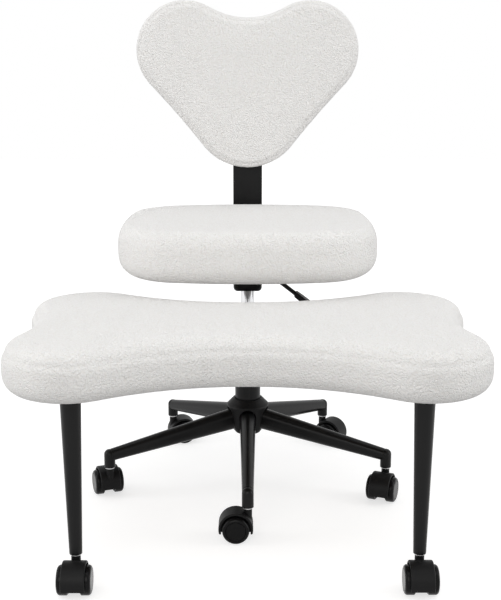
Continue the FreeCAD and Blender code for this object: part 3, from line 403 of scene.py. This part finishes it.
for outline in (platform_circles, seat_circles, heart_circles):
    print(outline.__name__, "span", np.ptp(ring(outline(), 0.0), axis=0).round(3))

# %% [markdown]
# ## A pad as a stack of rings
#
# A foam pad has soft edges, and underneath a shallow pocket takes its board.  So its
# edge is a profile of insets and heights: from the pocket, round the lower edge, up the
# side and round the upper edge.  A ring at each step of it makes a closed mesh.  A
# bevelled block would do for a box, but not where the sides are hollow.

# %% Stack the rings
POCKET = 0.007
POCKET_GAP = 0.0005
INNER_RING = 0.085
ARC_POINTS = 7


def edge_profile(thick, low, high):
    """Insets and heights from the board's pocket, round the edge, to the top."""
    quarter = np.linspace(0.0, math.pi / 2, ARC_POINTS)
    (low_wide, low_tall), (high_wide, high_tall) = low, high
    rim = low_wide + POCKET_GAP
    pocket = [(INNER_RING, POCKET), (rim, POCKET), (rim, 0.0)]
    below = [(low_wide * (1 - math.sin(a)), low_tall * (1 - math.cos(a))) for a in quarter]
    above = [
        (high_wide * (1 - math.cos(a)), thick - high_tall * (1 - math.sin(a)))
        for a in quarter
    ]
    return pocket + below + above + [(INNER_RING, thick)]


def stack_rings(name, circles, profile):
    """A closed mesh of rings, each at its own inset and height."""
    mesh = bmesh.new()
    rows = []
    for inset, height in profile:
        rows.append([mesh.verts.new((x, y, height)) for x, y in ring(circles, inset)])
    for lower, upper in zip(rows, rows[1:]):
        for i in range(len(lower)):
            j = (i + 1) % len(lower)
            mesh.faces.new((lower[i], lower[j], upper[j], upper[i]))
    mesh.faces.new(rows[0][::-1])
    mesh.faces.new(rows[-1])
    bmesh.ops.remove_doubles(mesh, verts=mesh.verts[:], dist=1e-6)
    bmesh.ops.recalc_face_normals(mesh, faces=mesh.faces[:])
    data = bpy.data.meshes.new(name)
    mesh.to_mesh(data)
    mesh.free()
    pad = bpy.data.objects.new(name, data)
    scene.collection.objects.link(pad)
    return pad


# %% [markdown]
# ## Plain meshes
#
# Modifiers do the remeshing and the smoothing, and each is turned into a plain mesh at
# once, so that the next step has real points to work on.  The points are read and
# written as one array, which is far quicker than one by one.

# %% Work on plain meshes


def bake_modifiers(piece):
    """Turn what the modifiers make into the piece's own plain mesh."""
    graph = bpy.context.evaluated_depsgraph_get()
    made = bpy.data.meshes.new_from_object(piece.evaluated_get(graph))
    piece.modifiers.clear()
    piece.data = made


def points_of(piece):
    flat = np.empty(len(piece.data.vertices) * 3, np.float32)
    piece.data.vertices.foreach_get("co", flat)
    return flat.reshape(-1, 3).astype(float)


def set_points(piece, points):
    piece.data.vertices.foreach_set("co", points.astype(np.float32).ravel())
    piece.data.update()


def remesh(piece, voxel):
    even = piece.modifiers.new("even_quads", "REMESH")
    even.mode = "VOXEL"
    even.voxel_size = voxel
    bake_modifiers(piece)


def subdivide(piece):
    finer = piece.modifiers.new("finer", "SUBSURF")
    finer.levels = finer.render_levels = 1
    bake_modifiers(piece)


def fit_to(piece, low, high):
    """Stretch the pad so that its box has these corners."""
    points = points_of(piece)
    least, most = points.min(0), points.max(0)
    set_points(piece, low + (points - least) * (high - low) / (most - least))


print("points in the frame's seat:", len(points_of(pieces["seat_cushion"])))

# %% [markdown]
# ## Padding
#
# Foam under a stretched cover has a gentle crown.  The stack is remeshed into even
# quads, pinned where it lies on its board, and blown up by a short cloth simulation
# with pressure.  The run swells it far more than foam would and leaves small wrinkles,
# so its moves are evened out over neighbouring points and scaled down to SWELL.

# %% Blow up a pad
VOXEL = 0.005
FRAMES = 12
EVEN_ROUNDS = 12
SWELL = 0.003


def even_out(piece, move):
    """Share each point's move with its neighbours, which takes out small wrinkles."""
    ends = np.empty(len(piece.data.edges) * 2, np.int32)
    piece.data.edges.foreach_get("vertices", ends)
    first, second = ends.reshape(-1, 2).T
    count = np.bincount(ends, minlength=len(move))
    for _ in range(EVEN_ROUNDS):
        for axis in range(3):
            one = move[:, axis]
            near = np.bincount(first, one[second], len(one))
            near = near + np.bincount(second, one[first], len(one))
            move[:, axis] = (one + near / count) / 2
    return move


def inflate(piece):
    """Blow the pad up with a short cloth run, pinned underneath, and scale its moves."""
    before = points_of(piece)
    held = np.flatnonzero(before[:, 2] < before[:, 2].min() + POCKET + VOXEL)
    group = piece.vertex_groups.new(name="on_board")
    group.add([int(i) for i in held], 1.0, "REPLACE")
    cloth = piece.modifiers.new("cover", "CLOTH")
    cloth.settings.mass = 0.4
    cloth.settings.tension_stiffness = 20
    cloth.settings.compression_stiffness = 20
    cloth.settings.bending_stiffness = 2.0
    cloth.settings.use_pressure = True
    cloth.settings.uniform_pressure_force = 4.0
    cloth.settings.effector_weights.gravity = 0.0
    cloth.settings.vertex_group_mass = group.name
    cloth.collision_settings.use_collision = False
    cloth.point_cache.frame_end = FRAMES
    for step in range(1, FRAMES + 1):
        scene.frame_set(step)
    bake_modifiers(piece)
    piece.vertex_groups.clear()
    scene.frame_set(1)
    move = even_out(piece, points_of(piece) - before)
    most = float(np.linalg.norm(move, axis=1).max())
    set_points(piece, before + move * min(1.0, SWELL / most))
    print(piece.name, "swelled by up to", round(most * 1000, 1), "mm, kept to", SWELL * 1000)


print("a cloth run takes", FRAMES, "frames")

# %% [markdown]
# ## A pad from start to end
#
# After the run the pad is subdivided once and turned into place.  It is fitted to the
# space that the frame keeps for it, with a little more height where it is crowned.
# Fitting last keeps the size right, however much the run has changed it.

# %% Make a pad


def make_pad(name, circles, profile, turn, node, crown=0.0, voxel=VOXEL):
    pad = stack_rings(name, circles, profile)
    remesh(pad, voxel)
    inflate(pad)
    subdivide(pad)
    pad.data.transform(turn)
    low, high = (np.array(corner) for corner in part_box(node))
    fit_to(pad, low, high + np.array((0.0, 0.0, crown)))
    return pad


# %% [markdown]
# ## Seams
#
# A seam draws the cover in, so it is a narrow groove that follows a line on the pad.
# Cutting it would need edges along that line, which an even mesh doesn't have.  Each
# point of the pad notes how much of a seam it feels instead.

# %% Mark the seams


def seam_share(points, line, width):
    """How much of a seam each point feels, from its distance to the seam's line."""
    tree = kdtree.KDTree(len(line))
    for index, spot in enumerate(line):
        tree.insert(spot, index)
    tree.balance()
    gap = np.array([tree.find(point)[2] for point in points])
    return np.exp(-((gap / width) ** 2))


def mark_seams(piece, lines, width=0.003):
    points = points_of(piece)
    share = np.zeros(len(points))
    for line in lines:
        share = np.maximum(share, seam_share(points, line, width))
    seam = piece.data.attributes.new("seam", "FLOAT", "POINT")
    seam.data.foreach_set("value", share.astype(np.float32))


row = [(0.0, 0.0, 0.0), (1.0, 0.0, 0.0), (2.0, 0.0, 0.0)]
print("seam felt at 0, 1 and 2 widths:", seam_share(row, row[:1], 1.0).round(2))

# %% [markdown]
# ## Trees of Geometry Nodes
#
# What repeats over a surface or a set of points is left to Geometry Nodes.  Each tree
# has a named input for every size and one for the finish.  It ends by making its
# instances real and giving them the finish, and the plain mesh is kept.

# %% Open, close and run a tree


def new_tree(name, sizes):
    """A Geometry Nodes tree with a named input for each size and one for the finish."""
    tree = bpy.data.node_groups.new(name, "GeometryNodeTree")
    face = tree.interface
    face.new_socket("Geometry", in_out="INPUT", socket_type="NodeSocketGeometry")
    for title, value in sizes.items():
        kind = "NodeSocketVector" if isinstance(value, tuple) else "NodeSocketFloat"
        face.new_socket(title, in_out="INPUT", socket_type=kind).default_value = value
    face.new_socket("Finish", in_out="INPUT", socket_type="NodeSocketMaterial")
    face.new_socket("Geometry", in_out="OUTPUT", socket_type="NodeSocketGeometry")
    return tree, tree.nodes.new("NodeGroupInput").outputs


def maths(tree, operation, first, second):
    inputs = {0: first, 1: second}
    return add(tree, "ShaderNodeMath", {"operation": operation}, inputs)[0]


def close_tree(tree, geometry, finish):
    real = add(tree, "GeometryNodeRealizeInstances", {}, {"Geometry": geometry})[0]
    inputs = {"Geometry": real, "Material": finish}
    dressed = add(tree, "GeometryNodeSetMaterial", {}, inputs)[0]
    add(tree, "NodeGroupOutput", {}, {"Geometry": dressed})


def run_tree(piece, tree, values):
    """Put a tree on a piece, set its inputs by identifier, and keep the plain mesh."""
    steps = piece.modifiers.new(tree.name, "NODES")
    steps.node_group = tree
    for item in tree.interface.items_tree:
        if item.in_out == "INPUT" and item.name in values:
            steps[item.identifier] = values[item.name]
    bake_modifiers(piece)


# %% [markdown]
# ## Nap
#
# The curls stand out of the cover, and they show along the pad's edge.  A bump in the
# finish leaves that edge smooth, so one tree moves each point along its normal: into
# the groove where it feels a seam, and up or down with the curls everywhere.

# %% Sink the seams and raise the curls
CURL_HEIGHT = 0.0005
CURL_LEVEL = 0.55


def nap_tree():
    """Nodes that sink the seams and raise the curls along each point's normal."""
    sizes = {"Curl Size": CURL, "Curl Height": CURL_HEIGHT, "Seam Depth": 0.001}
    tree, entry = new_tree("seams_and_curls", sizes)
    inputs = {"Name": "seam"}
    seam = add(tree, "GeometryNodeInputNamedAttribute", {"data_type": "FLOAT"}, inputs)[0]
    inputs = {"Scale": maths(tree, "DIVIDE", 1.0, entry["Curl Size"])}
    cells = add(tree, "ShaderNodeTexVoronoi", {"feature": "SMOOTH_F1"}, inputs)["Distance"]
    curl = maths(tree, "SUBTRACT", CURL_LEVEL, cells)
    bump = maths(tree, "MULTIPLY", curl, entry["Curl Height"])
    groove = maths(tree, "MULTIPLY", seam, entry["Seam Depth"])
    rise = maths(tree, "SUBTRACT", bump, groove)
    inputs = {0: add(tree, "GeometryNodeInputNormal")[0], "Scale": rise}
    push = add(tree, "ShaderNodeVectorMath", {"operation": "SCALE"}, inputs)[0]
    inputs = {"Geometry": entry["Geometry"], "Offset": push}
    moved = add(tree, "GeometryNodeSetPosition", {}, inputs)[0]
    smooth = add(tree, "GeometryNodeSetShadeSmooth", {}, {"Geometry": moved})[0]
    close_tree(tree, smooth, entry["Finish"])
    return tree


def dress_pad(piece, body, node, seam_depth):
    run_tree(piece, curls, {"Finish": boucle, "Seam Depth": seam_depth})
    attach(piece, body)
    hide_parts(node)
    print(piece.name, "has", len(piece.data.polygons), "faces")


curls = nap_tree()
print("nodes in the nap:", len(curls.nodes))

# %% [markdown]
# ## The seat
#
# The seat pad is thick and plain, with no seam to be seen.  Its top edge is rounder up
# and down than across, and its lower edge curls further under, towards the board.

# %% Make the seat
CROWN = 0.0025

seat_profile = edge_profile(thick=0.102, low=(0.047, 0.0395), high=(0.024, 0.0375))
seat = make_pad("seat_pad", seat_circles(), seat_profile, Matrix(), "seat_cushion", CROWN)
mark_seams(seat, [])
dress_pad(seat, "seat", "seat_cushion", seam_depth=0.0)

# %% [markdown]
# ## The heart-shaped back
#
# The back is cut from two panels and sewn close to its edge, so a seam runs round the
# front a little inside the outline.  The pad is made lying down and then stood up,
# with its underside towards the bar that carries it.

# %% Make the back
SEAM_STEP = 0.002
BACK_SEAM_INSET = 0.0075
BACK_SEAM_Y = 0.0035

back_low, back_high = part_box("back_cushion")
upright = Matrix.Rotation(math.pi / 2, 4, "X")
stand = Matrix.Translation((0.0, back_high.y, back_low.z)) @ upright
back_profile = edge_profile(thick=0.060, low=(0.025, 0.014), high=(0.013, 0.014))
back = make_pad("back_pad", heart_circles(), back_profile, stand, "back_cushion")
seam_line = [
    Vector((x, back_low.y + BACK_SEAM_Y, back_low.z + z))
    for x, z in ring(heart_circles(), BACK_SEAM_INSET, SEAM_STEP)
]
mark_seams(back, [seam_line], width=0.0038)
dress_pad(back, "seat", "back_cushion", seam_depth=0.0025)

# %% [markdown]
# ## The platform
#
# The platform pad is boxed: a top panel and a band meet in a seam along the top edge,
# and the band itself is joined at the middle of the front.  This pad is the largest, so
# its mesh is a little coarser.

# %% Make the platform
PLATFORM_VOXEL = 0.006
EDGE_SEAM_INSET = 0.0036
EDGE_SEAM_DROP = 0.021
JOIN_RISE = 0.012

pad_low, pad_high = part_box("platform_cushion")
middle = (pad_low + pad_high) / 2
shift = Matrix.Translation((middle.x, middle.y, pad_low.z))
platform_profile = edge_profile(thick=0.0878, low=(0.033, 0.030), high=(0.034, 0.038))
platform = make_pad(
    "platform_pad", platform_circles(), platform_profile, shift, "platform_cushion",
    CROWN, PLATFORM_VOXEL,
)
seam_z = pad_high.z - EDGE_SEAM_DROP
edge_line = [
    Vector((middle.x + x, middle.y + y, seam_z))
    for x, y in ring(platform_circles(), EDGE_SEAM_INSET, SEAM_STEP)
]
join_y = middle.y - PLATFORM_HOLLOW_Y
join_line = [
    Vector((0.0, join_y, z)) for z in np.arange(pad_low.z + JOIN_RISE, seam_z, SEAM_STEP)
]
mark_seams(platform, [edge_line, join_line], width=0.005)
dress_pad(platform, "platform", "platform_cushion", seam_depth=0.0018)

# %% [markdown]
# ## Bolt heads
#
# Button-head bolts hold the seat plate, the bar and the platform's steel to the boards.
# They are all alike, so Geometry Nodes make one bolt, with a hexagon cut into its head,
# and put it on a cloud of points.  Nobody lines the hexagons up, so each bolt is turned
# by a random angle with a fixed seed.

# %% Describe a bolt
DOWN = (0.0, 0.0, -1.0)
BACKWARDS = (0.0, 1.0, 0.0)


def bolt_tree():
    sizes = {
        "Head Radius": 0.006, "Head Height": 0.004, "Socket": 0.0027, "Grip": 0.008,
        "Aim": DOWN,
    }
    tree, entry = new_tree("bolts_on_points", sizes)
    radius, height, grip = entry["Head Radius"], entry["Head Height"], entry["Grip"]
    inputs = {
        "Vertices": 24, "Side Segments": 2,
        "Radius Top": maths(tree, "MULTIPLY", radius, 0.62), "Radius Bottom": radius,
        "Depth": height,
    }
    head = add(tree, "GeometryNodeMeshCone", {}, inputs)[0]
    inputs = {"Vertices": 6, "Radius": entry["Socket"], "Depth": height}
    key = add(tree, "GeometryNodeMeshCylinder", {}, inputs)[0]
    lift = add(tree, "ShaderNodeCombineXYZ", {}, {"Z": height})[0]
    key = add(tree, "GeometryNodeTransform", {}, {"Geometry": key, "Translation": lift})[0]
    inputs = {"Mesh 1": head, "Mesh 2": key}
    cut = add(tree, "GeometryNodeMeshBoolean", {"operation": "DIFFERENCE"}, inputs)[0]
    inputs = {"Vertices": 16, "Radius": maths(tree, "MULTIPLY", radius, 0.5), "Depth": grip}
    shank = add(tree, "GeometryNodeMeshCylinder", {}, inputs)[0]
    half = maths(tree, "MULTIPLY", grip, -0.5)
    drop = add(tree, "ShaderNodeCombineXYZ", {}, {"Z": half})[0]
    inputs = {"Geometry": shank, "Translation": drop}
    shank = add(tree, "GeometryNodeTransform", {}, inputs)[0]
    whole = tree.nodes.new("GeometryNodeJoinGeometry")
    for half_bolt in (cut, shank):
        tree.links.new(half_bolt, whole.inputs[0])
    inputs = {"Vector": entry["Aim"]}
    turn = add(tree, "FunctionNodeAlignRotationToVector", {"axis": "Z"}, inputs)[0]
    inputs = {"Points": entry["Geometry"], "Instance": whole.outputs[0], "Rotation": turn}
    placed = add(tree, "GeometryNodeInstanceOnPoints", {}, inputs)[0]
    inputs = {"Seed": 7}
    chance = add(tree, "FunctionNodeRandomValue", {"data_type": "FLOAT"}, inputs)["Value"]
    angle = maths(tree, "MULTIPLY", chance, math.tau)
    spin = add(tree, "ShaderNodeCombineXYZ", {}, {"Z": angle})[0]
    inputs = {"Instances": placed, "Rotation": spin}
    spun = add(tree, "GeometryNodeRotateInstances", {}, inputs)[0]
    close_tree(tree, spun, entry["Finish"])
    return tree


def set_bolts(name, body, node, spots, aim):
    data = bpy.data.meshes.new(name)
    data.from_pydata(spots, [], [])
    piece = bpy.data.objects.new(name, data)
    scene.collection.objects.link(piece)
    run_tree(piece, bolts, {"Finish": finishes[slot_of[node]], "Aim": aim})
    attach(piece, body)
    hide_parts(node)
    print(name, "holds", len(spots), "bolts")


bolts = bolt_tree()
print("nodes in a bolt:", len(bolts.nodes))

# %% [markdown]
# ## Where the bolts go
#
# Four bolts hold the seat plate and four the foot of the bar, all from below.  Four more
# go through the top of the bar into the back.  Each leg of the platform has three on a
# circle, and the bracket of its arm has four.

# %% Set the bolts
PLATE_UNDERSIDE, BAR_UNDERSIDE, BAR_REAR = 0.451, 0.449, 0.234
PLATFORM_STEEL_UNDERSIDE = 0.3405
BAR_BOLT_X = 0.0175
LEG_X, LEG_Y, LEG_BOLT_CIRCLE = 0.287, -0.484, 0.02775
BRACKET_Y = -0.338

plate_spots = [
    (x, y, PLATE_UNDERSIDE) for x in (-0.060, 0.060) for y in (-0.055, 0.055)
]
bar_spots = [
    (x, y, BAR_UNDERSIDE) for x in (-BAR_BOLT_X, BAR_BOLT_X) for y in (0.106, 0.146)
]
back_spots = [
    (x, BAR_REAR, back_low.z + z) for x in (-BAR_BOLT_X, BAR_BOLT_X) for z in (0.080, 0.160)
]
leg_spots = [
    (x + LEG_BOLT_CIRCLE * math.cos(a), LEG_Y + LEG_BOLT_CIRCLE * math.sin(a),
     PLATFORM_STEEL_UNDERSIDE)
    for x in (-LEG_X, LEG_X) for a in np.radians((90, 210, 330))
]
bracket_spots = [
    (x, BRACKET_Y + y, PLATFORM_STEEL_UNDERSIDE)
    for x in (-0.045, 0.045) for y in (-0.065, 0.065)
]
set_bolts("seat_bolt_heads", "seat", "seat_bolts", plate_spots + bar_spots, DOWN)
set_bolts("back_bolt_heads", "seat", "back_bolts", back_spots, BACKWARDS)
platform_spots = leg_spots + bracket_spots
set_bolts("platform_bolt_heads", "platform", "platform_bolts", platform_spots, DOWN)

# %% [markdown]
# ## Sky and floor
#
# The photo shows the chair on plain white.  The camera and shiny metal see a plain
# white sky and a floor that glows towards white.  A dimmer sky lights the chair, and
# the glow of the floor adds nothing to that.  The floor still takes the chair's shadow.

# %% Build the sky and the floor
WHITE = tint(1, 1, 1)
SKY_LEVEL = 0.64
FLOOR_SIZE, FLOOR_DROP = 14.0, 0.0006
GLOW_REACH = 0.36


def shown_to_camera(tree, shown, lit):
    """Show the camera and shiny metal one shader, and light the chair with another."""
    path = add(tree, "ShaderNodeLightPath")
    inputs = {0: path["Is Camera Ray"], 1: path["Is Glossy Ray"]}
    seen = add(tree, "ShaderNodeMath", {"operation": "MAXIMUM"}, inputs)[0]
    return add(tree, "ShaderNodeMixShader", {}, {0: seen, 1: lit, 2: shown})[0]


def white_sky():
    world = bpy.data.worlds.new("white_sky")
    world.use_nodes = True
    tree = world.node_tree
    light = tree.nodes["Background"]
    light.inputs["Color"].default_value = WHITE
    light.inputs["Strength"].default_value = SKY_LEVEL
    white = add(tree, "ShaderNodeBackground", {}, {"Color": WHITE})[0]
    out = shown_to_camera(tree, white, light.outputs[0])
    tree.links.new(out, tree.nodes["World Output"].inputs["Surface"])
    scene.world = world


def pale_floor():
    """A pale floor that glows a little more further out, where the lamps don't reach."""
    bpy.ops.mesh.primitive_plane_add(size=FLOOR_SIZE, location=(0, 0, -FLOOR_DROP))
    floor = bpy.context.object
    floor.name = "floor"
    fixed = {"Base Color": tint(0.5, 0.5, 0.5), "Roughness": 1.0, "Specular IOR Level": 0.0}
    f = Finish("pale_floor", fixed)
    inputs = {"Vector": f.stretched((GLOW_REACH,) * 3)}
    near = f.node("ShaderNodeTexGradient", {"gradient_type": "SPHERICAL"}, inputs, "Fac")
    glow = f.node("ShaderNodeEmission", {}, {"Strength": 0.86 - 0.24 * near})
    plain = f.shader.outputs[0]
    both = f.node("ShaderNodeAddShader", {}, {0: plain, 1: glow})
    out = shown_to_camera(f.tree, both.socket, plain)
    f.tree.links.new(out, f.tree.nodes["Material Output"].inputs["Surface"])
    floor.data.materials.append(f.material)


white_sky()
pale_floor()
print("sky level", SKY_LEVEL, "and floor", FLOOR_SIZE, "m wide")

# %% [markdown]
# ## Lamps
#
# Large soft lamps stand above, in front and on both sides.  The one above is slightly
# cool and the one in front slightly warm, as the tops and fronts are in the photo.

# %% Hang the lamps
COOL, NEUTRAL, WARM = (0.97, 0.985, 1.0), (1.0, 1.0, 1.0), (1.0, 0.975, 0.95)


def soft_lamp(name, place, aim, size, power, colour):
    data = bpy.data.lights.new(name, "AREA")
    data.shape = "RECTANGLE"
    data.size, data.size_y = size
    data.energy = power
    data.color = colour
    lamp = bpy.data.objects.new(name, data)
    lamp.location = place
    gaze = Vector(aim) - Vector(place)
    lamp.rotation_euler = gaze.to_track_quat("-Z", "Y").to_euler()
    scene.collection.objects.link(lamp)
    print(name, power, "W")


soft_lamp("top_lamp", (0.0, -0.5, 3.2), (0, -0.2, 0.4), (3.0, 3.0), 28, COOL)
soft_lamp("front_lamp", (-0.6, -3.2, 1.7), (0, 0, 0.45), (2.2, 1.6), 30, WARM)
soft_lamp("left_lamp", (-2.4, -0.4, 1.0), (0, -0.1, 0.5), (0.9, 2.2), 20, NEUTRAL)
soft_lamp("right_lamp", (2.4, -0.4, 1.0), (0, -0.1, 0.5), (0.9, 2.2), 20, NEUTRAL)

# %% [markdown]
# ## The camera
#
# The photo looks at the chair from the front, a little from above.  The camera was
# fitted to the chair's own points: 2.2 m in front of the column, looking 12.65 degrees
# down, with a long lens.

# %% Place the camera
PHOTO_HEIGHT, FOCAL = 600.0, 1109.9
LOOK_DOWN, LOOK_ASIDE = 12.65, -0.15

view = bpy.data.cameras.new("photo_camera")
view.sensor_fit = "VERTICAL"
view.sensor_height = 36.0
view.lens = FOCAL * view.sensor_height / PHOTO_HEIGHT
camera = bpy.data.objects.new("photo_camera", view)
camera.location = (0.0, -2.2, 0.8805)
camera.rotation_euler = (math.radians(90 - LOOK_DOWN), 0.0, math.radians(LOOK_ASIDE))
scene.collection.objects.link(camera)
scene.camera = camera
print("lens", round(view.lens, 2), "mm")
